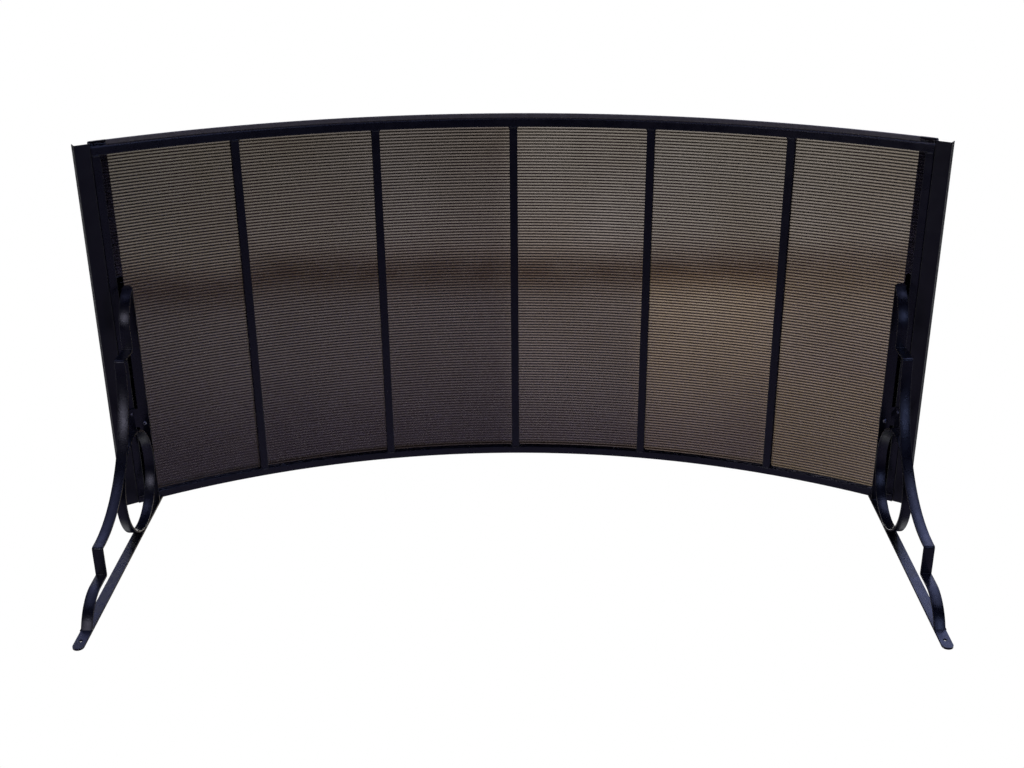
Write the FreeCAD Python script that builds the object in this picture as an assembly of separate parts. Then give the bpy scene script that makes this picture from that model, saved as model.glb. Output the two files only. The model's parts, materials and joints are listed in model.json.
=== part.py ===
import FreeCAD, Part

import math
import os

from FreeCAD import Vector

# Arched door canopy, in its in-use pose. Millimetres.
# X runs along the wall, Y points into the wall (the wall plane is y = 0), Z is up.
# The origin is the centre of the four wall fixing holes.

# --- driving dimensions -------------------------------------------------------------------
ARCH_RADIUS = 1803.0        # underside of the arch tubes
ARCH_HALF_ANGLE = 32.5      # from the crown to the end of the arch tubes, degrees
RIB_ANGLES = (-21.8, -10.9, 0.0, 10.9, 21.8)
FRAME_DEPTH = 929.0         # wall to the front face of the front arch

TUBE = 20.0                 # square tube, outside
TUBE_WALL = 1.5
TUBE_CORNER = 2.0
TUBE_INNER_CORNER = 0.5
RIB_DROP = 0.05             # keeps the flat rib tops under the curved sheet

SHEET_DEPTH = 937.5
SHEET_THICK = 4.5
SHEET_SKIN = 0.6
SHEET_WEB = 0.6
FLUTE_COUNT = 123

EDGE_PROFILE_WALL = 1.2
EDGE_PROFILE_HALF_ANGLE = 31.18
EDGE_PROFILE_PLAY = 0.1     # between its legs and the front arch

COVER_THICK = 1.5
COVER_INNER_ANGLE = 31.2
COVER_OUTER_ANGLE = 32.45

CHANNEL_WIDTH = 38.0
CHANNEL_HEIGHT = 20.0
CHANNEL_SHEET = 1.5
CHANNEL_BEND = 3.0
CHANNEL_FRONT = 938.5
CHANNEL_BACK = 3.0

BAR_WIDTH = 25.0            # flat bar of the brackets
BAR_THICK = 5.0
BRACKET_X = 928.0
WALL_HOLE_Z = 290.0         # the holes sit this far above and below the origin
WALL_HOLE_DIA = 9.0
WALL_BAR_TIP = 320.0        # origin down to the rounded tip

SPRING_Z = 355.0            # underside of the arch tubes over the brackets
ARM_DROP = 25.0             # from there down to the underside of the arm
ARM_LENGTH = 592.0
ARM_TIP_RADIUS = 8.0

BRACE_REACH = 440.0         # from the wall bar, and from the arm, to the big curve's centre
BRACE_RADIUS = 313.0        # hollow side of the big curve
BRACE_STEP = 70.0           # the square step at each end of the big curve
BRACE_RUN = 45.0            # straight stretch beyond each step
BRACE_END_RADIUS = 100.0    # the curve that runs into the wall bar or the arm
BRACE_END_ANGLE = 63.5      # where that curve meets the bar, degrees
BRACE_BEND = 3.5            # middle of the bar, at the square bends

LUG_Y = -240.0              # middle of the lug that ties the arm to the end tube
LUG_WIDTH = 50.0
LUG_THICK = 4.0
LUG_BOLT_Y = -229.0
LUG_BOLT_DIA = 6.0
LUG_NUT_ACROSS = 10.0
LUG_NUT_HEIGHT = 5.0
LUG_SCREW_Y = -252.0
LUG_SCREW_OFFSET = -1.5     # from the middle of the end tube

COVER_SCREW_Y = (-40.0, -214.0, -388.0, -562.0, -736.0, -900.0)
COVER_SCREW_DIA = 4.8
COVER_WASHER = 2.0          # thickness of the sealing washers
COVER_WASHER_DIA = 14.0
CHANNEL_RIVET_Y = (-60.0, -262.0, -464.0, -666.0, -868.0)
RIVET_DIA = 4.0
HOLE_PLAY = 0.2             # a hole is this much wider than its screw
GAP = 0.02                  # between a fastener's head and what it sits on
CHANNEL_GAP = 0.1           # between a rain channel and its end tube

WELD_WIDTH = 5.0
WELD_HEIGHT = 1.3
WELD_LEG = 3.0
WELD_LENGTH = 18.0

# --- what follows from them ---------------------------------------------------------------
ARC_CENTRE_Z = SPRING_Z - math.sqrt(ARCH_RADIUS ** 2 - BRACKET_X ** 2)
CROWN_Z = ARC_CENTRE_Z + ARCH_RADIUS            # underside of the arches at the crown
SHEET_Z = CROWN_Z + TUBE
COVER_Z = SHEET_Z + SHEET_THICK
END_TUBE_ANGLE = ARCH_HALF_ANGLE - math.degrees(TUBE / 2 / (ARCH_RADIUS + TUBE / 2))
ARM_Z = SPRING_Z - ARM_DROP                     # underside of the arm
BAR_LEFT = BRACKET_X - BAR_WIDTH / 2
BAR_RIGHT = BRACKET_X + BAR_WIDTH / 2
CHANNEL_X = TUBE / 2 + CHANNEL_GAP              # from the middle of the end tube

# from the corner of the bracket to each end of the brace
BRACE_FOOT = (BRACE_REACH + BRACE_BEND + BRACE_RUN
              + BRACE_END_RADIUS * math.sin(math.radians(BRACE_END_ANGLE)))

# The ring touches the wall bar, the arm and the brace's big curve.
RING_RADIUS = ((BRACE_REACH * math.sqrt(2) - BRACE_RADIUS - BAR_THICK) / (1 + math.sqrt(2)))
RING_Y = -BAR_THICK - RING_RADIUS
RING_Z = ARM_Z - RING_RADIUS

ALONG_X = Vector(1, 0, 0)
ALONG_Y = Vector(0, 1, 0)
ALONG_Z = Vector(0, 0, 1)
ARC_CENTRE = Vector(0, 0, ARC_CENTRE_Z)


# --- helpers ------------------------------------------------------------------------------
def at_angle(shape, angle):
    """Swings a shape made at the crown round the arc; a positive angle goes towards +X."""
    swung = shape.copy()
    swung.rotate(ARC_CENTRE, ALONG_Y, angle)
    return swung


def mirrored(shape):
    """The same piece on the other side of the canopy."""
    return shape.mirror(Vector(0, 0, 0), ALONG_X)


def group(shapes):
    solids = []
    for shape in shapes:
        solids.extend(shape.Solids)
    return Part.makeCompound(solids)


def outline(points):
    """Closed wire through points; an entry (end, middle) is an arc to end through middle."""
    edges = []
    last = points[0]
    for entry in points[1:]:
        if isinstance(entry, tuple):
            end, middle = entry
            edges.append(Part.Arc(last, middle, end).toShape())
        else:
            end = entry
            edges.append(Part.makeLine(last, end))
        last = end
    if (last - points[0]).Length > 1e-6:
        edges.append(Part.makeLine(last, points[0]))
    return Part.Wire(edges)


def rounded_square(place, side, corner):
    """Rounded square; place(u, v) gives the point that lies u across and v up."""
    half = side / 2
    flat = half - corner
    middle = flat + corner * math.sqrt(0.5)
    points = [place(-flat, -half)]
    for quarter in range(4):
        c = round(math.cos(quarter * math.pi / 2))
        s = round(math.sin(quarter * math.pi / 2))
        corner_points = [(flat, -half), (half, -flat), (middle, -middle)]
        start, end, mid = [place(u * c - v * s, u * s + v * c) for u, v in corner_points]
        points.append(start)
        points.append((end, mid))
    return outline(points[1:])


def tube_section(place):
    """Face of the square tube, with its hollow."""
    outer = rounded_square(place, TUBE, TUBE_CORNER)
    inner = rounded_square(place, TUBE - 2 * TUBE_WALL, TUBE_INNER_CORNER)
    return Part.Face(outer).cut(Part.Face(inner))


def swept_arc(section, from_angle, to_angle):
    """Revolves a section that stands in the plane x = 0 round the arc."""
    return at_angle(section, from_angle).revolve(ARC_CENTRE, ALONG_Y, to_angle - from_angle)


def crown_rectangle(y_low, y_high, z_low, z_high):
    """Rectangle in the plane x = 0."""
    return outline([Vector(0, y_low, z_low), Vector(0, y_high, z_low),
                    Vector(0, y_high, z_high), Vector(0, y_low, z_high)])


def turned(points, base):
    """Solid of revolution about the upright axis through base; points are (radius, height)."""
    wire = outline([base + Vector(radius, 0, height) for radius, height in points])
    return Part.Face(wire).revolve(base, ALONG_Z, 360)


def hexagon(across_flats, height, base):
    """Upright hexagonal prism on base."""
    corner = across_flats / math.sqrt(3)
    angles = [math.radians(60 * k) for k in range(6)]
    points = [base + Vector(corner * math.cos(a), corner * math.sin(a), 0) for a in angles]
    return Part.Face(outline(points)).extrude(Vector(0, 0, height))


def dome_head(radius, height, socket, base):
    """Domed head below base, with a hexagon socket that wide across its flats."""
    sphere_radius = (radius ** 2 + height ** 2) / (2 * height)
    sphere = Part.makeSphere(sphere_radius, base + Vector(0, 0, sphere_radius - height))
    block = Part.makeBox(4 * radius, 4 * radius, height, base - Vector(2 * radius, 2 * radius, height))
    return sphere.common(block).cut(hexagon(socket, height / 2, base - Vector(0, 0, height)))


def bent_bar(start, heading, moves):
    """Side view of a bent flat bar, in the YZ plane.

    start is (y, z) on the middle of the bar; heading is in degrees from +Y towards +Z.
    A move is a length to go straight on, or (radius, turn), where a positive turn is
    from +Y towards +Z.
    """
    half = BAR_THICK / 2
    y, z = start
    angle = math.radians(heading)

    def side(yy, zz, a, which):
        return Vector(0, yy - which * half * math.sin(a), zz + which * half * math.cos(a))

    sides = {1: [side(y, z, angle, 1)], -1: [side(y, z, angle, -1)]}
    for move in moves:
        if isinstance(move, tuple):
            radius, turn = move
            way = math.copysign(1, turn)
            centre_y = y - way * radius * math.sin(angle)
            centre_z = z + way * radius * math.cos(angle)
            halfway = angle + math.radians(turn) / 2
            angle += math.radians(turn)
            middle_y = centre_y + way * radius * math.sin(halfway)
            middle_z = centre_z - way * radius * math.cos(halfway)
            y = centre_y + way * radius * math.sin(angle)
            z = centre_z - way * radius * math.cos(angle)
            for which, points in sides.items():
                points.append((side(y, z, angle, which), side(middle_y, middle_z, halfway, which)))
        else:
            y += move * math.cos(angle)
            z += move * math.sin(angle)
            for which, points in sides.items():
                points.append(side(y, z, angle, which))
    return outline(sides[1] + backwards(sides[-1]))


def backwards(points):
    """The same run of points and arcs from its far end."""
    ends = [p[0] if isinstance(p, tuple) else p for p in points]
    result = [ends[-1]]
    for k in range(len(points) - 1, 0, -1):
        if isinstance(points[k], tuple):
            result.append((ends[k - 1], points[k][1]))
        else:
            result.append(ends[k - 1])
    return result


def bar_wide(wire):
    """Gives a side view of the bracket the width of the flat bar, on the right."""
    body = Part.Face(wire).extrude(Vector(BAR_WIDTH, 0, 0))
    body.translate(Vector(BAR_LEFT, 0, 0))
    return body


# --- frame --------------------------------------------------------------------------------
def arch_tube(y_front):
    def place(u, v):
        return Vector(0, y_front + TUBE / 2 + u, CROWN_Z + TUBE / 2 + v)

    return swept_arc(tube_section(place), -ARCH_HALF_ANGLE, ARCH_HALF_ANGLE)


def depth_tube(angle):
    """Straight tube between the two arches."""
    def place(u, v):
        return Vector(u, -FRAME_DEPTH + TUBE, CROWN_Z + TUBE / 2 - RIB_DROP + v)

    tube = tube_section(place).extrude(Vector(0, FRAME_DEPTH - 2 * TUBE, 0))
    return at_angle(tube, angle)


def end_tube():
    return depth_tube(END_TUBE_ANGLE).cut(cover_holes()).cut(rivet_holes()).cut(lug_screw_hole())


# --- fixings of the roof, made at the crown and swung to the right end ------------------------
def cover_holes():
    """Through the cover strip, the sheet and the top of the end tube."""
    radius = (COVER_SCREW_DIA + HOLE_PLAY) / 2
    low = SHEET_Z - TUBE_WALL - 1
    height = COVER_Z + COVER_THICK + 1 - low
    holes = [Part.makeCylinder(radius, height, Vector(0, y, low), ALONG_Z) for y in COVER_SCREW_Y]
    return at_angle(group(holes), END_TUBE_ANGLE)


def cover_washers():
    hole = (COVER_SCREW_DIA + HOLE_PLAY) / 2
    radius = COVER_WASHER_DIA / 2
    rim = 0.6
    profile = [(hole, 0), (radius, 0), (radius, COVER_WASHER - rim),
               (radius - rim, COVER_WASHER), (hole, COVER_WASHER)]
    seat = COVER_Z + COVER_THICK + GAP
    return at_angle(group([turned(profile, Vector(0, y, seat)) for y in COVER_SCREW_Y]),
                    END_TUBE_ANGLE)


def cover_screws():
    head_across = 8.0
    head_height = 4.2
    flange_radius = 5.2
    flange_height = 0.8
    point = 4.0
    radius = COVER_SCREW_DIA / 2
    seat = COVER_Z + COVER_THICK + COVER_WASHER + 2 * GAP
    reach = seat - SHEET_Z + TUBE_WALL + point
    screws = []
    for y in COVER_SCREW_Y:
        base = Vector(0, y, seat)
        head = hexagon(head_across, head_height, base)
        flange = turned([(0, 0), (flange_radius, 0), (flange_radius, flange_height),
                         (0, flange_height)], base)
        shank = turned([(0, flange_height), (radius, flange_height), (radius, -reach),
                        (0, -reach - point)], base)
        screws.append(head.fuse(flange).fuse(shank).removeSplitter())
    return at_angle(group(screws), END_TUBE_ANGLE)


def rivet_holes():
    radius = (RIVET_DIA + HOLE_PLAY) / 2
    start_x = TUBE / 2 - TUBE_WALL - 1
    length = TUBE_WALL + CHANNEL_GAP + CHANNEL_SHEET + 2
    z = CROWN_Z + TUBE / 2
    holes = [Part.makeCylinder(radius, length, Vector(start_x, y, z), ALONG_X)
             for y in CHANNEL_RIVET_Y]
    return at_angle(group(holes), END_TUBE_ANGLE)


def channel_rivets():
    head_radius = 4.0
    head_height = 1.4
    tail = 4.0
    start_x = TUBE / 2 - TUBE_WALL - tail
    seat_x = CHANNEL_X + CHANNEL_SHEET + GAP
    z = CROWN_Z + TUBE / 2
    rivets = []
    for y in CHANNEL_RIVET_Y:
        shank = Part.makeCylinder(RIVET_DIA / 2, seat_x - start_x, Vector(start_x, y, z), ALONG_X)
        head = Part.makeCone(head_radius, head_radius / 2, head_height, Vector(seat_x, y, z), ALONG_X)
        rivets.append(shank.fuse(head).removeSplitter())
    return at_angle(group(rivets), END_TUBE_ANGLE)


# --- roof ---------------------------------------------------------------------------------
def twin_wall_sheet():
    pitch = SHEET_DEPTH / FLUTE_COUNT
    wires = [crown_rectangle(-SHEET_DEPTH, 0, SHEET_Z, COVER_Z)]
    for k in range(FLUTE_COUNT):
        low = -SHEET_DEPTH + k * pitch + SHEET_WEB / 2
        high = low + pitch - SHEET_WEB
        wires.append(crown_rectangle(low, high, SHEET_Z + SHEET_SKIN, COVER_Z - SHEET_SKIN))
    face = Part.Face(wires)
    face.validate()
    sheet = swept_arc(face, -ARCH_HALF_ANGLE, ARCH_HALF_ANGLE)
    return sheet.cut(cover_holes()).cut(mirrored(cover_holes()))


def front_edge_profile():
    """Channel pushed over the sheet's front edge, open towards the wall."""
    wall = EDGE_PROFILE_WALL
    front = -SHEET_DEPTH - wall
    back = -FRAME_DEPTH - EDGE_PROFILE_PLAY
    low = SHEET_Z - wall
    high = COVER_Z + wall
    section = outline([Vector(0, front, low), Vector(0, back, low), Vector(0, back, SHEET_Z),
                       Vector(0, -SHEET_DEPTH, SHEET_Z), Vector(0, -SHEET_DEPTH, COVER_Z),
                       Vector(0, back, COVER_Z), Vector(0, back, high), Vector(0, front, high)])
    return swept_arc(Part.Face(section), -EDGE_PROFILE_HALF_ANGLE, EDGE_PROFILE_HALF_ANGLE)


def cover_strip():
    """Strip on top of the sheet's side edge, turned down over the sheet's front edge."""
    front = -SHEET_DEPTH - COVER_THICK
    low = SHEET_Z - EDGE_PROFILE_WALL
    high = COVER_Z + COVER_THICK
    section = outline([Vector(0, front, low), Vector(0, -SHEET_DEPTH, low),
                       Vector(0, -SHEET_DEPTH, COVER_Z), Vector(0, 0, COVER_Z),
                       Vector(0, 0, high), Vector(0, front, high)])
    strip = swept_arc(Part.Face(section), COVER_INNER_ANGLE, COVER_OUTER_ANGLE)
    return strip.cut(cover_holes())


def rain_channel():
    """Folded U on the outer side of the end tube; made at the crown, then swung."""
    t = CHANNEL_SHEET
    low = CROWN_Z
    high = low + CHANNEL_HEIGHT
    outer = CHANNEL_BEND
    inner = CHANNEL_BEND - t
    near = CHANNEL_X
    far = CHANNEL_X + CHANNEL_WIDTH

    def point(x, z):
        return Vector(x, -CHANNEL_FRONT, z)

    def bend_middle(centre_x, radius, way):
        diagonal = radius * math.sqrt(0.5)
        return point(centre_x + way * diagonal, low + outer - diagonal)

    section = outline([
        point(near, high), point(near, low + outer),
        (point(near + outer, low), bend_middle(near + outer, outer, -1)),
        point(far - outer, low),
        (point(far, low + outer), bend_middle(far - outer, outer, 1)),
        point(far, high), point(far - t, high), point(far - t, low + outer),
        (point(far - outer, low + t), bend_middle(far - outer, inner, 1)),
        point(near + outer, low + t),
        (point(near + t, low + outer), bend_middle(near + outer, inner, -1)),
        point(near + t, high)])
    body = Part.Face(section).extrude(Vector(0, CHANNEL_FRONT - CHANNEL_BACK, 0))
    return at_angle(body, END_TUBE_ANGLE).cut(rivet_holes())


# --- brackets, on the right ---------------------------------------------------------------
def wall_bar():
    round_z = BAR_WIDTH / 2 - WALL_BAR_TIP
    top = SPRING_Z + TUBE
    face = outline([Vector(BAR_LEFT, 0, top), Vector(BAR_LEFT, 0, round_z),
                    (Vector(BAR_RIGHT, 0, round_z), Vector(BRACKET_X, 0, -WALL_BAR_TIP)),
                    Vector(BAR_RIGHT, 0, top)])
    bar = Part.Face(face).extrude(Vector(0, -BAR_THICK, 0))
    under_arch = Part.makeCylinder(ARCH_RADIUS, TUBE, Vector(0, -TUBE, ARC_CENTRE_Z), ALONG_Y)
    bar = bar.common(under_arch)
    for z in (-WALL_HOLE_Z, WALL_HOLE_Z):
        start = Vector(BRACKET_X, -BAR_THICK - 1, z)
        bar = bar.cut(Part.makeCylinder(WALL_HOLE_DIA / 2, BAR_THICK + 2, start, ALONG_Y))
    return bar


def top_arm():
    front = -ARM_LENGTH
    r = ARM_TIP_RADIUS
    cut_off = r * (1 - math.sqrt(0.5))

    def point(x, y):
        return Vector(x, y, ARM_Z)

    face = outline([
        point(BAR_LEFT, -BAR_THICK), point(BAR_LEFT, front + r),
        (point(BAR_LEFT + r, front), point(BAR_LEFT + cut_off, front + cut_off)),
        point(BAR_RIGHT - r, front),
        (point(BAR_RIGHT, front + r), point(BAR_RIGHT - cut_off, front + cut_off)),
        point(BAR_RIGHT, -BAR_THICK)])
    return Part.Face(face).extrude(Vector(0, 0, BAR_THICK)).cut(lug_bolt_hole())


def brace():
    """Bent bar: a curve off the wall bar, a square step, the big curve, and the same again."""
    big = BRACE_RADIUS + BAR_THICK / 2
    run_y = -BAR_THICK - BRACE_REACH + big + BRACE_STEP
    start_y = run_y + BRACE_END_RADIUS * (1 - math.cos(math.radians(BRACE_END_ANGLE)))
    start_z = ARM_Z - BRACE_FOOT
    run = BRACE_RUN - BRACE_BEND
    step = BRACE_STEP - 2 * BRACE_BEND
    end_curve = (BRACE_END_RADIUS, -BRACE_END_ANGLE)
    left = (BRACE_BEND, 90)
    right = (BRACE_BEND, -90)
    moves = [end_curve, run, left, step, right, (big, 90), right, step, left, run, end_curve]
    body = bar_wide(bent_bar((start_y, start_z), 90 + BRACE_END_ANGLE, moves))
    # the ends are cut flush with the wall bar and the arm
    size = 2 * BRACE_REACH
    room = Part.makeBox(size, size, size, Vector(BRACKET_X - size / 2, -BAR_THICK - size, ARM_Z - size))
    return body.common(room)


def ring():
    start = Vector(BAR_LEFT, RING_Y, RING_Z)
    outer = Part.makeCylinder(RING_RADIUS, BAR_WIDTH, start, ALONG_X)
    return outer.cut(Part.makeCylinder(RING_RADIUS - BAR_THICK, BAR_WIDTH, start, ALONG_X))


def lug_bolt_hole():
    radius = (LUG_BOLT_DIA + 2 * HOLE_PLAY) / 2
    start = Vector(BRACKET_X, LUG_BOLT_Y, ARM_Z - 1)
    return Part.makeCylinder(radius, BAR_THICK + LUG_THICK + 2, start, ALONG_Z)


def lug_screw_hole():
    """Through the sloping leaf of the lug and the bottom of the end tube."""
    radius = (COVER_SCREW_DIA + HOLE_PLAY) / 2
    start = Vector(LUG_SCREW_OFFSET, LUG_SCREW_Y, CROWN_Z - LUG_THICK - 2)
    hole = Part.makeCylinder(radius, LUG_THICK + TUBE_WALL + 3, start, ALONG_Z)
    return at_angle(hole, END_TUBE_ANGLE)


def lug():
    """Plate on top of the arm, bent down along the underside of the end tube."""
    slope = math.radians(END_TUBE_ANGLE)
    along = Vector(math.cos(slope), 0, -math.sin(slope))
    down = Vector(-math.sin(slope), 0, -math.cos(slope))
    # a point on the underside of the end tube, below its middle
    middle = ARCH_RADIUS - RIB_DROP - GAP
    under_tube = ARC_CENTRE + Vector(math.sin(slope), 0, math.cos(slope)) * middle
    arm_top = ARM_Z + BAR_THICK + GAP

    def knee(z, offset):
        """Where the leaf's face, offset down from the tube, comes to the height z."""
        face = under_tube + down * offset
        return face + along * ((face.z - z) / math.sin(slope))

    far = under_tube + along * (TUBE / 2 - TUBE_CORNER)
    section = outline([Vector(BAR_LEFT, 0, arm_top), knee(arm_top, LUG_THICK),
                       far + down * LUG_THICK, far, knee(arm_top + LUG_THICK, 0),
                       Vector(BAR_LEFT, 0, arm_top + LUG_THICK)])
    body = Part.Face(section).extrude(Vector(0, LUG_WIDTH, 0))
    body.translate(Vector(0, LUG_Y - LUG_WIDTH / 2, 0))
    return body.cut(lug_bolt_hole()).cut(lug_screw_hole())


def lug_bolt():
    """Dome head below the arm."""
    head_radius = 5.5
    head_height = 3.3
    socket = 4.0
    past_nut = 3.0
    tip = BAR_THICK + LUG_THICK + LUG_NUT_HEIGHT + past_nut
    base = Vector(BRACKET_X, LUG_BOLT_Y, ARM_Z - GAP)
    head = dome_head(head_radius, head_height, socket, base)
    return head.fuse(Part.makeCylinder(LUG_BOLT_DIA / 2, tip, base, ALONG_Z)).removeSplitter()


def lug_nut():
    base = Vector(BRACKET_X, LUG_BOLT_Y, ARM_Z + BAR_THICK + LUG_THICK + 2 * GAP)
    bore = Part.makeCylinder(LUG_BOLT_DIA / 2 + HOLE_PLAY / 2, LUG_NUT_HEIGHT, base, ALONG_Z)
    return hexagon(LUG_NUT_ACROSS, LUG_NUT_HEIGHT, base).cut(bore)


def lug_screw():
    """Round head under the lug's sloping leaf, point in the end tube."""
    head_radius = 4.0
    head_height = 2.4
    socket = 2.5
    point = 4.0
    base = Vector(LUG_SCREW_OFFSET, LUG_SCREW_Y, CROWN_Z - RIB_DROP - LUG_THICK - 2 * GAP)
    head = dome_head(head_radius, head_height, socket, base)
    radius = COVER_SCREW_DIA / 2
    length = LUG_THICK + TUBE_WALL + point
    shank = turned([(0, 0), (radius, 0), (radius, length), (0, length + point)], base)
    return at_angle(head.fuse(shank).removeSplitter(), END_TUBE_ANGLE)


# --- welds --------------------------------------------------------------------------------
def bead(length):
    """Low rounded bead along X, its flat side up, in the plane z = 0."""
    half = WELD_WIDTH / 2
    section = outline([Vector(0, -half, 0), (Vector(0, half, 0), Vector(0, 0, -WELD_HEIGHT))])
    body = Part.Face(section).extrude(Vector(length, 0, 0))
    body.translate(Vector(-length / 2, 0, 0))
    return body


def corner_bead(length):
    """Upright fillet in the corner that opens towards +X and -Y, standing on z = 0."""
    leg = WELD_LEG
    bulge = 0.58 * leg
    section = outline([Vector(0, 0, 0), Vector(leg, 0, 0),
                       (Vector(0, -leg, 0), Vector(bulge, -bulge, 0))])
    return Part.Face(section).extrude(Vector(0, 0, length))


def tube_joint_welds(angle, sides):
    """Beads where a tube between the arches meets them, below and on the given sides (-1, 1)."""
    length = TUBE - 2 * TUBE_CORNER
    welds = []
    for y, way in ((-TUBE, 1), (-FRAME_DEPTH + TUBE, -1)):
        under = bead(length)
        under.translate(Vector(0, y, CROWN_Z - RIB_DROP - GAP))
        welds.append(under)
        for x_way in sides:
            side = corner_bead(length)
            if x_way < 0:
                side = mirrored(side)
            if way < 0:
                side = side.mirror(Vector(0, 0, 0), ALONG_Y)
            side.translate(Vector(x_way * (TUBE / 2 + GAP), y - way * GAP, CROWN_Z + TUBE_CORNER))
            welds.append(side)
    return at_angle(group(welds), angle)


def frame_welds():
    welds = [tube_joint_welds(angle, (-1, 1)) for angle in RIB_ANGLES]
    end = tube_joint_welds(END_TUBE_ANGLE, (-1,))
    return group(welds + [end, mirrored(end)])


def side_beads(y, z, angle, length):
    """Beads on both side faces of the bracket, lying along angle from +Y towards +Z."""
    right = bead(length)
    right.rotate(Vector(0, 0, 0), ALONG_Z, 90)
    right.rotate(Vector(0, 0, 0), ALONG_Y, -90)
    right.rotate(Vector(0, 0, 0), ALONG_X, angle)
    left = mirrored(right)
    right.translate(Vector(BAR_RIGHT + GAP, y, z))
    left.translate(Vector(BAR_LEFT - GAP, y, z))
    return [left, right]


def cross_corner(z):
    """Section of a fillet under a face at height z, against the front of the wall bar."""
    y = -BAR_THICK - GAP
    bulge = 0.58 * WELD_LEG
    return Part.Face(outline([Vector(0, y, z), Vector(0, y - WELD_LEG, z),
                              (Vector(0, y, z - WELD_LEG), Vector(0, y - bulge, z - bulge))]))


def bracket_welds():
    touch = RING_RADIUS * math.sqrt(0.5)
    welds = side_beads(RING_Y - touch, RING_Z - touch, 135, WELD_LENGTH)
    welds += side_beads(-BAR_THICK, RING_Z, 90, WELD_LENGTH)
    welds += side_beads(RING_Y, ARM_Z, 0, WELD_LENGTH)
    welds += side_beads(-BAR_THICK, ARM_Z - BRACE_FOOT, 90, WELD_LENGTH / 2)
    welds += side_beads(-BAR_THICK - BRACE_FOOT, ARM_Z, 0, WELD_LENGTH / 2)
    # across the wall bar: under the arch, and under the arm
    margin = 1.5
    from_angle = math.degrees(math.asin((BAR_LEFT + margin) / ARCH_RADIUS))
    to_angle = math.degrees(math.asin((BAR_RIGHT - margin) / ARCH_RADIUS))
    welds.append(swept_arc(cross_corner(CROWN_Z - GAP), from_angle, to_angle))
    under_arm = cross_corner(ARM_Z - GAP).extrude(Vector(BAR_WIDTH - 2 * margin, 0, 0))
    under_arm.translate(Vector(BAR_LEFT + margin, 0, 0))
    welds.append(under_arm)
    return group(welds)


# --- all the pieces -----------------------------------------------------------------------
nodes = {
    "wall_arch_tube": arch_tube(-TUBE),
    "front_arch_tube": arch_tube(-FRAME_DEPTH),
    "sheet": twin_wall_sheet(),
    "front_edge_profile": front_edge_profile(),
    "frame_welds": frame_welds(),
}
for number, rib_angle in enumerate(RIB_ANGLES, start=1):
    nodes["rib_" + str(number)] = depth_tube(rib_angle)

PAIRS = {
    "end_tube": end_tube,
    "cover_strip": cover_strip,
    "rain_channel": rain_channel,
    "wall_bar": wall_bar,
    "top_arm": top_arm,
    "brace": brace,
    "ring": ring,
    "lug": lug,
}
for name, make in PAIRS.items():
    piece = make()
    nodes[name + "_right"] = piece
    nodes[name + "_left"] = mirrored(piece)

GROUPS = {
    "cover_screws": cover_screws,
    "cover_washers": cover_washers,
    "channel_rivets": channel_rivets,
    "lug_bolts": lug_bolt,
    "lug_nuts": lug_nut,
    "lug_screws": lug_screw,
    "bracket_welds": bracket_welds,
}
for name, make in GROUPS.items():
    pieces = make()
    nodes[name] = group([pieces, mirrored(pieces)])

os.makedirs("parts", exist_ok=True)
for name, shape in nodes.items():
    shape.exportStep("parts/" + name + ".step")
    print(name, len(shape.Solids), "solids", "valid" if shape.isValid() else "NOT VALID")
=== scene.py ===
import json
import math

import bmesh
import bpy
from mathutils import Matrix, Vector, noise


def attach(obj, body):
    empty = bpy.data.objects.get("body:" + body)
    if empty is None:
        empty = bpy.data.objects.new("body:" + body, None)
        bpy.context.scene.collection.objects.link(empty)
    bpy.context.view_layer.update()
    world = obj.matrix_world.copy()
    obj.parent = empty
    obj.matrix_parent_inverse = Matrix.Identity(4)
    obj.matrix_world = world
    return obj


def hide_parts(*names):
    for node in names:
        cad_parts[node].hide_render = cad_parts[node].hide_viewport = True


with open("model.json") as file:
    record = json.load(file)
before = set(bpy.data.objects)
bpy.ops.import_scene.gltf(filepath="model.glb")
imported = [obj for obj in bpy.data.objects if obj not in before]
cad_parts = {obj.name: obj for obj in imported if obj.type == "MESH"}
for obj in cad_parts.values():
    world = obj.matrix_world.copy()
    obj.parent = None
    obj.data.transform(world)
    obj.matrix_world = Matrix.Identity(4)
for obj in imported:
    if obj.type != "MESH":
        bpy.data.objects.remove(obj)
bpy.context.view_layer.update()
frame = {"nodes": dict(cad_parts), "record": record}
NODES = frame["nodes"]
SCENE = bpy.context.scene

# sizes that the new pieces share with the CAD frame, in metres and degrees
BRACKET_X = 0.928
BAR_WIDTH = 0.025
BAR_THICK = 0.005
ARM_Z = 0.330
BRACE_REACH = 0.440
BRACE_RADIUS = 0.313
BRACE_STEP = 0.070
BRACE_RUN = 0.045
BRACE_END_RADIUS = 0.100
BRACE_END_ANGLE = 63.5
BRACE_BEND = 0.0035
SHEET_DEPTH = 0.9375
FLUTE_COUNT = 123
FLUTE_PITCH = SHEET_DEPTH / FLUTE_COUNT

# rounded edges and weld ripples, in metres
BAR_CORNER = 0.0008
BAR_EDGE = 0.0007
LUG_EDGE = 0.0005
COVER_EDGE = 0.0004
THIN_EDGE = 0.0003
RIPPLE_PITCH = 0.0021
RIPPLE_DEPTH = 0.00028
RING_STATIONS = 144

# painted shade along the sheet's webs: distance from mid-flute, in flutes, and the colour painted there
WEB_SHADE_START = 0.15
WEB_SHADE_FULL = 0.36
WEB_SHADE = (0.30, 0.28, 0.26)


# --- node materials -----------------------------------------------------------------------
def new_material(name):
    material = bpy.data.materials.new(name)
    material.use_nodes = True
    tree = material.node_tree
    tree.nodes.clear()
    output = tree.nodes.new("ShaderNodeOutputMaterial")
    shader = tree.nodes.new("ShaderNodeBsdfPrincipled")
    tree.links.new(shader.outputs["BSDF"], output.inputs["Surface"])
    return material, tree, shader, output


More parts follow.
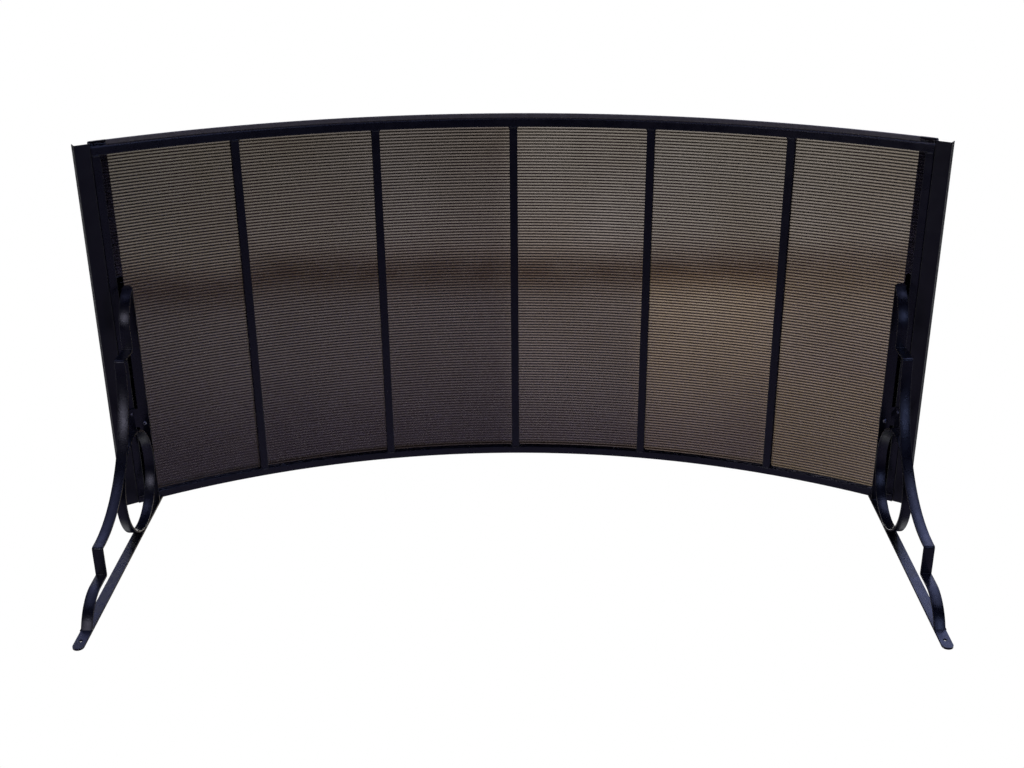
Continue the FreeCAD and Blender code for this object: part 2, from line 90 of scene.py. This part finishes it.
def object_coords(tree, scale=(1, 1, 1)):
    coords = tree.nodes.new("ShaderNodeTexCoord")
    mapping = tree.nodes.new("ShaderNodeMapping")
    mapping.inputs["Scale"].default_value = scale
    tree.links.new(coords.outputs["Object"], mapping.inputs["Vector"])
    return mapping.outputs["Vector"]


def noise_value(tree, vector, scale, detail=3.0, rough=0.55):
    node = tree.nodes.new("ShaderNodeTexNoise")
    node.inputs["Scale"].default_value = scale
    node.inputs["Detail"].default_value = detail
    node.inputs["Roughness"].default_value = rough
    tree.links.new(vector, node.inputs["Vector"])
    return node.outputs["Fac"]


def ramp(tree, value, stops):
    node = tree.nodes.new("ShaderNodeValToRGB")
    while len(node.color_ramp.elements) < len(stops):
        node.color_ramp.elements.new(0.5)
    for element, (position, colour) in zip(node.color_ramp.elements, stops):
        element.position = position
        element.color = (*colour, 1.0)
    tree.links.new(value, node.inputs["Fac"])
    return node.outputs["Color"]


def spread(tree, value, low, high, from_low=0.3, from_high=0.7, curve="LINEAR"):
    node = tree.nodes.new("ShaderNodeMapRange")
    node.interpolation_type = curve
    node.inputs["From Min"].default_value = from_low
    node.inputs["From Max"].default_value = from_high
    node.inputs["To Min"].default_value = low
    node.inputs["To Max"].default_value = high
    tree.links.new(value, node.inputs["Value"])
    return node.outputs["Result"]


def mix_colour(tree, factor, a, b, blend="MIX"):
    node = tree.nodes.new("ShaderNodeMix")
    node.data_type = "RGBA"
    node.blend_type = blend
    for socket, value in ((node.inputs["Factor"], factor), (node.inputs["A"], a), (node.inputs["B"], b)):
        if hasattr(value, "is_linked"):
            tree.links.new(value, socket)
        elif isinstance(value, tuple):
            socket.default_value = (*value, 1.0)
        else:
            socket.default_value = value
    return node.outputs["Result"]


def maths(tree, operation, a, b=None):
    node = tree.nodes.new("ShaderNodeMath")
    node.operation = operation
    for socket, value in zip(node.inputs, (a, b)):
        if hasattr(value, "is_linked"):
            tree.links.new(value, socket)
        elif value is not None:
            socket.default_value = value
    return node.outputs["Value"]


def bump(tree, shader, height, strength, distance, after=None):
    node = tree.nodes.new("ShaderNodeBump")
    node.inputs["Strength"].default_value = strength
    node.inputs["Distance"].default_value = distance
    tree.links.new(height, node.inputs["Height"])
    if after is not None:
        tree.links.new(after, node.inputs["Normal"])
    tree.links.new(node.outputs["Normal"], shader.inputs["Normal"])
    return node.outputs["Normal"]


def powder_coat(name, dark, light, rough, dust=0.25):
    """Satin powder coat: orange-peel grain, patches of sheen, and a little dust."""
    material, tree, shader, _ = new_material(name)
    where = object_coords(tree)
    patches = noise_value(tree, where, 6.0, 4.0)
    colour = mix_colour(tree, spread(tree, patches, 0, 1), dark, light)
    specks = spread(tree, noise_value(tree, where, 420.0, 2.0), 0.0, dust, 0.66, 0.80)
    dusty = tuple(min(1.0, 3.5 * c + 0.02) for c in light)
    colour = mix_colour(tree, specks, colour, dusty)
    tree.links.new(colour, shader.inputs["Base Color"])
    sheen = noise_value(tree, where, 35.0, 3.0)
    tree.links.new(spread(tree, sheen, rough - 0.05, rough + 0.07), shader.inputs["Roughness"])
    shader.inputs["Specular IOR Level"].default_value = 0.42
    peel = noise_value(tree, where, 260.0, 2.0)
    grain = noise_value(tree, where, 1100.0, 1.0)
    first = bump(tree, shader, peel, 0.35, 0.0006)
    bump(tree, shader, grain, 0.30, 0.00025, first)
    return material


def plastic(name, dark, light, rough, stretch=(1, 1, 1)):
    """Extruded plastic: fine drawn lines along it and a soft haze."""
    material, tree, shader, _ = new_material(name)
    where = object_coords(tree, stretch)
    lines = noise_value(tree, where, 90.0, 4.0)
    colour = mix_colour(tree, spread(tree, lines, 0, 1), dark, light)
    tree.links.new(colour, shader.inputs["Base Color"])
    tree.links.new(spread(tree, lines, rough - 0.06, rough + 0.08), shader.inputs["Roughness"])
    bump(tree, shader, lines, 0.25, 0.0002)
    return material


def bronze_sheet(name):
    """Bronze-tinted twin-wall polycarbonate, with painted shade along its inner webs."""
    material, tree, shader, output = new_material(name)
    where = object_coords(tree)
    split = tree.nodes.new("ShaderNodeSeparateXYZ")
    tree.links.new(where, split.inputs["Vector"])
    flutes = maths(tree, "DIVIDE", maths(tree, "ADD", split.outputs["Y"], SHEET_DEPTH), FLUTE_PITCH)
    from_web = maths(tree, "ABSOLUTE", maths(tree, "SUBTRACT", maths(tree, "FRACT", flutes), 0.5))
    web_painted_shade_mask = spread(tree, from_web, 0, 1, WEB_SHADE_START, WEB_SHADE_FULL, "SMOOTHSTEP")
    haze = noise_value(tree, where, 2.2, 3.0)
    clear = mix_colour(tree, spread(tree, haze, 0, 1), (0.79, 0.78, 0.765), (0.855, 0.84, 0.825))
    streaks = noise_value(tree, object_coords(tree, (5, 60, 5)), 2.0, 2.0)
    clear = mix_colour(tree, spread(tree, streaks, 0, 0.25), clear, (0.74, 0.71, 0.65))
    # painted shade: the base colour turns darker towards each web
    tree.links.new(mix_colour(tree, web_painted_shade_mask, clear, WEB_SHADE), shader.inputs["Base Color"])
    tree.links.new(spread(tree, noise_value(tree, where, 14.0, 3.0), 0.04, 0.09),
                   shader.inputs["Roughness"])
    shader.inputs["Transmission Weight"].default_value = 1.0
    shader.inputs["IOR"].default_value = 1.45
    waves = noise_value(tree, object_coords(tree, (3, 30, 3)), 4.0, 2.0)
    bump(tree, shader, waves, 0.05, 0.0004)
    volume = tree.nodes.new("ShaderNodeVolumeAbsorption")
    volume.inputs["Color"].default_value = (0.42, 0.34, 0.30, 1)
    volume.inputs["Density"].default_value = 750.0
    tree.links.new(volume.outputs["Volume"], output.inputs["Volume"])
    return material


def metal(name, dark, light, rough):
    material, tree, shader, _ = new_material(name)
    where = object_coords(tree)
    grain = noise_value(tree, where, 300.0, 3.0)
    tree.links.new(mix_colour(tree, spread(tree, grain, 0, 1), dark, light), shader.inputs["Base Color"])
    shader.inputs["Metallic"].default_value = 1.0
    tree.links.new(spread(tree, grain, rough - 0.08, rough + 0.1), shader.inputs["Roughness"])
    bump(tree, shader, grain, 0.2, 0.0001)
    return material


MATERIALS = {
    "frame_paint": powder_coat("frame_paint", (0.0025, 0.0028, 0.0060),
                               (0.0045, 0.0050, 0.0110), 0.27),
    "trim_paint": powder_coat("trim_paint", (0.0028, 0.0026, 0.0045),
                              (0.0050, 0.0046, 0.0080), 0.34, 0.15),
    "bronze_sheet": bronze_sheet("bronze_sheet"),
    "edge_plastic": plastic("edge_plastic", (0.15, 0.132, 0.12), (0.205, 0.183, 0.168), 0.45),
    "washer_rubber": plastic("washer_rubber", (0.012, 0.012, 0.012), (0.022, 0.021, 0.020), 0.6),
    "steel_fixings": metal("steel_fixings", (0.38, 0.38, 0.40), (0.58, 0.58, 0.60), 0.32),
    "dark_fixings": metal("dark_fixings", (0.10, 0.10, 0.12), (0.18, 0.18, 0.21), 0.24),
}
SLOT_OF = {row["node"]: row["material_slot"] for row in frame["record"]["subparts"]}


def finish_piece(piece, *nodes):
    """A new piece that stands for CAD nodes: material, slot, body."""
    slot = SLOT_OF[nodes[0]]
    piece.data.materials.clear()
    piece.data.materials.append(MATERIALS[slot])
    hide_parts(*nodes)
    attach(piece, "root")
    return piece


def piece_from_bmesh(name, bm, sharp=35.0):
    mesh = bpy.data.meshes.new(name)
    bmesh.ops.recalc_face_normals(bm, faces=bm.faces)
    bm.to_mesh(mesh)
    bm.free()
    for polygon in mesh.polygons:
        polygon.use_smooth = True
    mesh.set_sharp_from_angle(angle=math.radians(sharp))
    piece = bpy.data.objects.new(name, mesh)
    SCENE.collection.objects.link(piece)
    return piece


def cleaned(node):
    """A CAD node's mesh with its split corners joined and its flat faces whole."""
    bm = bmesh.new()
    bm.from_mesh(NODES[node].data)
    bmesh.ops.remove_doubles(bm, verts=bm.verts, dist=1e-6)
    bmesh.ops.dissolve_limit(bm, angle_limit=math.radians(0.3), verts=bm.verts, edges=bm.edges)
    return bm


def softened(node, width, segments=2):
    """The CAD node again, with its edges rounded."""
    piece = piece_from_bmesh("soft_" + node, cleaned(node), 30.0)
    edge = piece.modifiers.new("edges", "BEVEL")
    edge.width = width
    edge.segments = segments
    edge.limit_method = "ANGLE"
    edge.angle_limit = math.radians(35)
    edge.use_clamp_overlap = True
    edge.harden_normals = True
    return finish_piece(piece, node)


# --- the bent bars ------------------------------------------------------------------------
def bar_section(width, thick, corner=BAR_CORNER, steps=3):
    """Rounded rectangle: (across, outwards) points, across being the bar's width."""
    points = []
    for sx, sy, start in ((1, 1, 0), (-1, 1, 90), (-1, -1, 180), (1, -1, 270)):
        for k in range(steps + 1):
            a = math.radians(start + 90 * k / steps)
            points.append((sx * (width / 2 - corner) + corner * math.cos(a),
                           sy * (thick / 2 - corner) + corner * math.sin(a)))
    return points


def swept_bar(name, stations, x_middle, closed=False, cuts=(None, None)):
    """Sweeps the bar's section along (y, z, heading) stations, in the YZ plane."""
    section = bar_section(BAR_WIDTH, BAR_THICK)
    bm = bmesh.new()
    rings = []
    for k, (y, z, heading) in enumerate(stations):
        side = Vector((0, -math.sin(heading), math.cos(heading)))
        along = Vector((0, math.cos(heading), math.sin(heading)))
        ring = []
        for across, out in section:
            p = Vector((x_middle + across, y, z)) + side * out
            cut = cuts[0] if k == 0 else cuts[1] if k == len(stations) - 1 else None
            if cut is not None:
                axis, value = cut
                p += along * ((value - p[axis]) / along[axis])
            ring.append(bm.verts.new(p))
        rings.append(ring)
    count = len(section)
    pairs = list(zip(rings, rings[1:]))
    if closed:
        pairs.append((rings[-1], rings[0]))
    for a, b in pairs:
        for k in range(count):
            bm.faces.new((a[k], a[(k + 1) % count], b[(k + 1) % count], b[k]))
    if not closed:
        bm.faces.new(rings[0])
        bm.faces.new(rings[-1])
    return piece_from_bmesh(name, bm, 40.0)


def path_stations(start, heading, moves, step=math.radians(2.5)):
    """Stations along straight lengths and (radius, turn) curves."""
    y, z = start
    angle = math.radians(heading)
    stations = [(y, z, angle)]
    for move in moves:
        if isinstance(move, tuple):
            radius, turn = move
            way = math.copysign(1, turn)
            total = math.radians(abs(turn))
            count = max(4, math.ceil(total / step))
            centre_y = y - way * radius * math.sin(angle)
            centre_z = z + way * radius * math.cos(angle)
            first = angle
            for k in range(1, count + 1):
                angle = first + way * total * k / count
                y = centre_y + way * radius * math.sin(angle)
                z = centre_z - way * radius * math.cos(angle)
                stations.append((y, z, angle))
        else:
            y += move * math.cos(angle)
            z += move * math.sin(angle)
            stations.append((y, z, angle))
    return stations


def brace_stations():
    end = math.radians(BRACE_END_ANGLE)
    big = BRACE_RADIUS + BAR_THICK / 2
    run_y = -BAR_THICK - BRACE_REACH + big + BRACE_STEP
    start_y = run_y + BRACE_END_RADIUS * (1 - math.cos(end))
    start_z = ARM_Z - BRACE_REACH - BRACE_BEND - BRACE_RUN - BRACE_END_RADIUS * math.sin(end)
    run = BRACE_RUN - BRACE_BEND
    step = BRACE_STEP - 2 * BRACE_BEND
    end_curve = (BRACE_END_RADIUS, -BRACE_END_ANGLE)
    left = (BRACE_BEND, 90)
    right = (BRACE_BEND, -90)
    moves = [end_curve, run, left, step, right, (big, 90), right, step, left, run, end_curve]
    stations = path_stations((start_y, start_z), 90 + BRACE_END_ANGLE, moves)
    # the ends stop where the wall bar and the arm begin
    half = BAR_THICK / 2
    inside = [s for s in stations
              if s[0] < -BAR_THICK - half * 1.2 and s[1] < ARM_Z - half * 1.2]
    return inside


def make_brackets():
    ring_radius = (BRACE_REACH * math.sqrt(2) - BRACE_RADIUS - BAR_THICK) / (1 + math.sqrt(2))
    middle = ring_radius - BAR_THICK / 2
    ring = []
    for k in range(RING_STATIONS):
        a = 2 * math.pi * k / RING_STATIONS
        ring.append((-BAR_THICK - ring_radius + middle * math.cos(a),
                     ARM_Z - ring_radius + middle * math.sin(a), a + math.pi / 2))
    stations = brace_stations()
    for side, way in (("left", -1), ("right", 1)):
        x = way * BRACKET_X
        brace = swept_bar("brace_bar_" + side, stations, x,
                          cuts=((1, -BAR_THICK), (2, ARM_Z)))
        finish_piece(brace, "brace_" + side)
        finish_piece(swept_bar("ring_bar_" + side, ring, x, closed=True), "ring_" + side)


# --- welds --------------------------------------------------------------------------------
def rippled(node, pitch=RIPPLE_PITCH, depth=RIPPLE_DEPTH):
    """Weld beads with the ripples that the torch leaves, kept inside the CAD beads."""
    bm = cleaned(node)
    bmesh.ops.triangulate(bm, faces=bm.faces)
    bmesh.ops.subdivide_edges(bm, edges=[e for e in bm.edges if e.calc_length() > 0.0012],
                              cuts=6, use_grid_fill=True)
    seen = set()
    for start in bm.verts:
        if start in seen:
            continue
        island, stack = [], [start]
        seen.add(start)
        while stack:
            vert = stack.pop()
            island.append(vert)
            for edge in vert.link_edges:
                other = edge.other_vert(vert)
                if other not in seen:
                    seen.add(other)
                    stack.append(other)
        middle = sum((v.co for v in island), Vector()) / len(island)
        far = max(island, key=lambda v: (v.co - middle).length).co
        axis = (far - middle).normalized()
        for v in island:
            along = (v.co - middle).dot(axis)
            wave = 0.5 + 0.5 * math.cos(2 * math.pi * along / pitch)
            lump = noise.noise(v.co * 400.0)
            pull = depth * (wave + 0.4 * lump)
            flat = v.co - middle - axis * along
            if flat.length > 1e-6:
                v.co -= flat.normalized() * max(0.0, pull)
    return finish_piece(piece_from_bmesh("bead_" + node, bm, 60.0), node)


# --- floor, light, camera -----------------------------------------------------------------
# radiance of the surroundings as red, green, blue: the windows ahead and what is between them
AROUND_LEFT = (0.58, 0.64, 1.30)
AROUND_RIGHT = (1.35, 1.55, 3.00)
AROUND_FRONT = (0.05, 0.05, 0.10)
AROUND_BACK = (0.014, 0.010, 0.018)
# the glow seen through the roof, from its front (0) to the wall (1)
GLOW_ROWS = (
    (0.00, (0.55, 0.54, 0.50)), (0.20, (0.56, 0.55, 0.54)), (0.385, (0.60, 0.575, 0.56)),
    (0.425, (0.50, 0.45, 0.42)), (0.46, (0.245, 0.19, 0.15)), (0.49, (0.225, 0.17, 0.125)),
    (0.525, (0.38, 0.33, 0.30)), (0.56, (0.475, 0.435, 0.43)), (0.73, (0.40, 0.36, 0.36)),
    (0.91, (0.235, 0.205, 0.22)), (1.00, (0.18, 0.155, 0.175)),
)
RIGHT_END_GLOW = (0.39, 0.34, 0.30)
LEFT_END_SHIFT = 0.014
# and from the left end to the right end
GLOW_COLUMNS = (
    (0.00, (0.61, 0.62, 0.60)), (0.465, (0.65, 0.63, 0.64)), (0.48, (1.0, 1.0, 1.0)),
    (1.00, (1.06, 1.07, 1.02)),
)
WARM_CORNER = (1.72, 1.66, 1.43)
COOL_CORNER = (0.86, 0.86, 0.88)
CLOUD_DARK = (0.90, 0.88, 0.84)
CLOUD_LIGHT = (1.10, 1.12, 1.16)


# how the floor shows in the object's reflections, in front of it and behind it
FLOOR_GLOSS_FRONT = (0.020, 0.014, 0.022)
FLOOR_GLOSS_BACK = (0.38, 0.34, 0.50)
# the room to the sides and behind, up to the height where the roof's glow begins
ROOM = (0.72, 0.73, 0.78)

FLOOR_Z = -3.05
FLOOR_HALF = 14.0
CAMERA_PLACE = (0.03976, -1.65903, -2.68106)
CAMERA_PITCH = 66.2324
CAMERA_YAW = -0.9968
CAMERA_ROLL = 0.7590
CAMERA_LENS = 46.747
CAMERA_SHIFT = -0.00833


def pale_floor(height):
    bm = bmesh.new()
    bmesh.ops.create_grid(bm, x_segments=1, y_segments=1, size=FLOOR_HALF)
    floor = piece_from_bmesh("floor", bm)
    floor.location = (0, 0, height)
    material, tree, shader, _ = new_material("floor")
    where = object_coords(tree)
    cloud = noise_value(tree, where, 0.7, 3.0)
    shown = mix_colour(tree, spread(tree, cloud, 0, 1), (0.86, 0.86, 0.85), (0.90, 0.90, 0.89))
    # the object's reflections show it as darker ground, lighter behind than in front
    split = tree.nodes.new("ShaderNodeSeparateXYZ")
    tree.links.new(where, split.inputs["Vector"])
    reflected = mix_colour(tree, spread(tree, split.outputs["Y"], 0, 1, -0.2, 1.75),
                           FLOOR_GLOSS_FRONT, FLOOR_GLOSS_BACK)
    path = tree.nodes.new("ShaderNodeLightPath")
    colour = mix_colour(tree, path.outputs["Is Camera Ray"], reflected, shown)
    tree.links.new(colour, shader.inputs["Base Color"])
    shader.inputs["Roughness"].default_value = 0.9
    shader.inputs["Specular IOR Level"].default_value = 0.1
    floor.data.materials.append(material)


def studio_world():
    """White behind the object. As a light: a dim front with a bluish window towards each
    bracket, a pale room to the sides and behind, and the soft glow over the roof."""
    world = bpy.data.worlds.new("studio")
    SCENE.world = world
    world.use_nodes = True
    tree = world.node_tree
    tree.nodes.clear()
    output = tree.nodes.new("ShaderNodeOutputWorld")
    shown = tree.nodes.new("ShaderNodeBackground")
    shown.inputs["Color"].default_value = (1.0, 1.0, 1.0, 1)
    lit = tree.nodes.new("ShaderNodeBackground")
    coords = tree.nodes.new("ShaderNodeTexCoord")
    split = tree.nodes.new("ShaderNodeSeparateXYZ")
    tree.links.new(coords.outputs["Generated"], split.inputs["Vector"])
    x, y, z = [split.outputs[axis] for axis in "XYZ"]
    # two upright windows ahead, one towards each bracket
    aside = maths(tree, "ABSOLUTE", x)
    window = maths(tree, "MULTIPLY", spread(tree, aside, 0, 1, 0.15, 0.23),
                   spread(tree, aside, 1, 0, 0.38, 0.46))
    colour = mix_colour(tree, spread(tree, x, 0, 1, -0.05, 0.05), AROUND_LEFT, AROUND_RIGHT)
    ahead = mix_colour(tree, window, AROUND_FRONT, colour)
    around = mix_colour(tree, spread(tree, y, 1, 0, -0.52, -0.40), AROUND_BACK, ahead)
    beside = maths(tree, "MAXIMUM", spread(tree, y, 0, 1, 0.05, 0.35),
                   spread(tree, aside, 0, 1, 0.60, 0.75))
    room = maths(tree, "MULTIPLY", beside, spread(tree, z, 1, 0, 0.35, 0.55))
    around = mix_colour(tree, room, around, ROOM)
    # slopes of a direction away from straight up: across the roof, and into the wall
    height = maths(tree, "MAXIMUM", z, 0.05)
    across = maths(tree, "DIVIDE", x, height)
    inward = maths(tree, "DIVIDE", y, height)
    left_end = spread(tree, across, LEFT_END_SHIFT, 0, -0.235, -0.215)
    rows = ramp(tree, spread(tree, maths(tree, "SUBTRACT", inward, left_end), 0, 1, 0.2, 0.5),
                GLOW_ROWS)
    rows = mix_colour(tree, spread(tree, across, 0, 1, 0.192, 0.205), rows, RIGHT_END_GLOW, "LIGHTEN")
    columns = ramp(tree, spread(tree, across, 0, 1, -0.3, 0.3), GLOW_COLUMNS)
    glow = mix_colour(tree, 1.0, rows, columns, "MULTIPLY")
    # nearer the wall the glow is warmer and brighter on the right, dimmer on the left
    wallward = spread(tree, inward, 0, 1, 0.335, 0.355)
    right = maths(tree, "MULTIPLY", spread(tree, across, 0, 1, 0.085, 0.098),
                  spread(tree, across, 1, 0.42, 0.18, 0.22))
    warm = mix_colour(tree, maths(tree, "MULTIPLY", right, wallward), (1, 1, 1), WARM_CORNER)
    left = spread(tree, across, 1, 0, -0.02, -0.004)
    left = maths(tree, "MULTIPLY", left, spread(tree, inward, 0, 1, 0.352, 0.366))
    cool = mix_colour(tree, left, (1, 1, 1), COOL_CORNER)
    glow = mix_colour(tree, 1.0, mix_colour(tree, 1.0, glow, warm, "MULTIPLY"), cool, "MULTIPLY")
    clouds = noise_value(tree, coords.outputs["Generated"], 9.0, 2.0)
    glow = mix_colour(tree, 1.0, glow, mix_colour(tree, spread(tree, clouds, 0, 1, 0.35, 0.65),
                                                  CLOUD_DARK, CLOUD_LIGHT), "MULTIPLY")
    edge = maths(tree, "MULTIPLY", spread(tree, maths(tree, "ABSOLUTE", across), 1, 0, 0.40, 0.55),
                 maths(tree, "MULTIPLY", spread(tree, inward, 0, 1, 0.12, 0.19),
                       spread(tree, inward, 1, 0, 0.56, 0.70)))
    overhead = maths(tree, "MULTIPLY", edge, spread(tree, z, 0, 1, 0.3, 0.5))
    tree.links.new(mix_colour(tree, overhead, around, glow), lit.inputs["Color"])
    lit.inputs["Strength"].default_value = 1.0
    path = tree.nodes.new("ShaderNodeLightPath")
    choose = tree.nodes.new("ShaderNodeMixShader")
    tree.links.new(path.outputs["Is Camera Ray"], choose.inputs["Fac"])
    tree.links.new(lit.outputs["Background"], choose.inputs[1])
    tree.links.new(shown.outputs["Background"], choose.inputs[2])
    tree.links.new(choose.outputs["Shader"], output.inputs["Surface"])


def softbox(name, place, look_at, size, radiance, colour=(1, 1, 1)):
    data = bpy.data.lights.new(name, "AREA")
    data.shape = "RECTANGLE"
    data.size, data.size_y = size
    data.energy = radiance * math.pi * size[0] * size[1]
    data.color = colour
    light = bpy.data.objects.new(name, data)
    light.location = place
    light.rotation_mode = "QUATERNION"
    way = Vector(look_at) - Vector(place)
    light.rotation_quaternion = way.to_track_quat("-Z", "Y")
    SCENE.collection.objects.link(light)
    light.visible_camera = False
    return light


def make_camera():
    """Stands below and in front of the roof, looking up at it."""
    pitch = math.radians(CAMERA_PITCH)
    yaw = math.radians(CAMERA_YAW)
    roll = math.radians(CAMERA_ROLL)
    forward = Vector((math.sin(yaw) * math.cos(pitch), math.cos(yaw) * math.cos(pitch),
                      math.sin(pitch)))
    level = Vector((math.cos(yaw), -math.sin(yaw), 0))
    rise = level.cross(forward)
    right = level * math.cos(roll) + rise * math.sin(roll)
    up = rise * math.cos(roll) - level * math.sin(roll)
    data = bpy.data.cameras.new("camera")
    data.sensor_width = 36.0
    data.lens = CAMERA_LENS
    data.shift_x = CAMERA_SHIFT
    data.clip_start = 0.05
    data.clip_end = 100.0
    camera = bpy.data.objects.new("camera", data)
    camera.matrix_world = Matrix.Translation(CAMERA_PLACE) @ Matrix(
        (right, up, -forward)).transposed().to_4x4()
    SCENE.collection.objects.link(camera)
    SCENE.camera = camera


for name, node in NODES.items():
    node.data.materials.clear()
    node.data.materials.append(MATERIALS[SLOT_OF[name]])

make_brackets()
for side in ("left", "right"):
    softened("wall_bar_" + side, BAR_EDGE)
    softened("top_arm_" + side, BAR_EDGE)
    softened("lug_" + side, LUG_EDGE)
    softened("cover_strip_" + side, COVER_EDGE)
    softened("rain_channel_" + side, THIN_EDGE)
for name in ("cover_screws", "cover_washers", "channel_rivets", "lug_nuts"):
    softened(name, THIN_EDGE)
rippled("frame_welds")
rippled("bracket_welds")

pale_floor(FLOOR_Z)
studio_world()
softbox("left_softbox", (-1.9, -1.8, -2.95), (-1.9, -1.8, 0), (1.1, 1.3), 4.8, (0.79, 0.77, 1.0))
softbox("right_softbox", (1.9, -1.8, -2.95), (1.9, -1.8, 0), (1.1, 1.3), 3.0, (0.40, 0.50, 1.0))
overhead = softbox("overhead_softbox", (0, 0.15, 4.5), (0, 0.15, 0), (8.0, 2.7), 3.6)
overhead.visible_transmission = False
SCENE.view_settings.view_transform = "Standard"
make_camera()
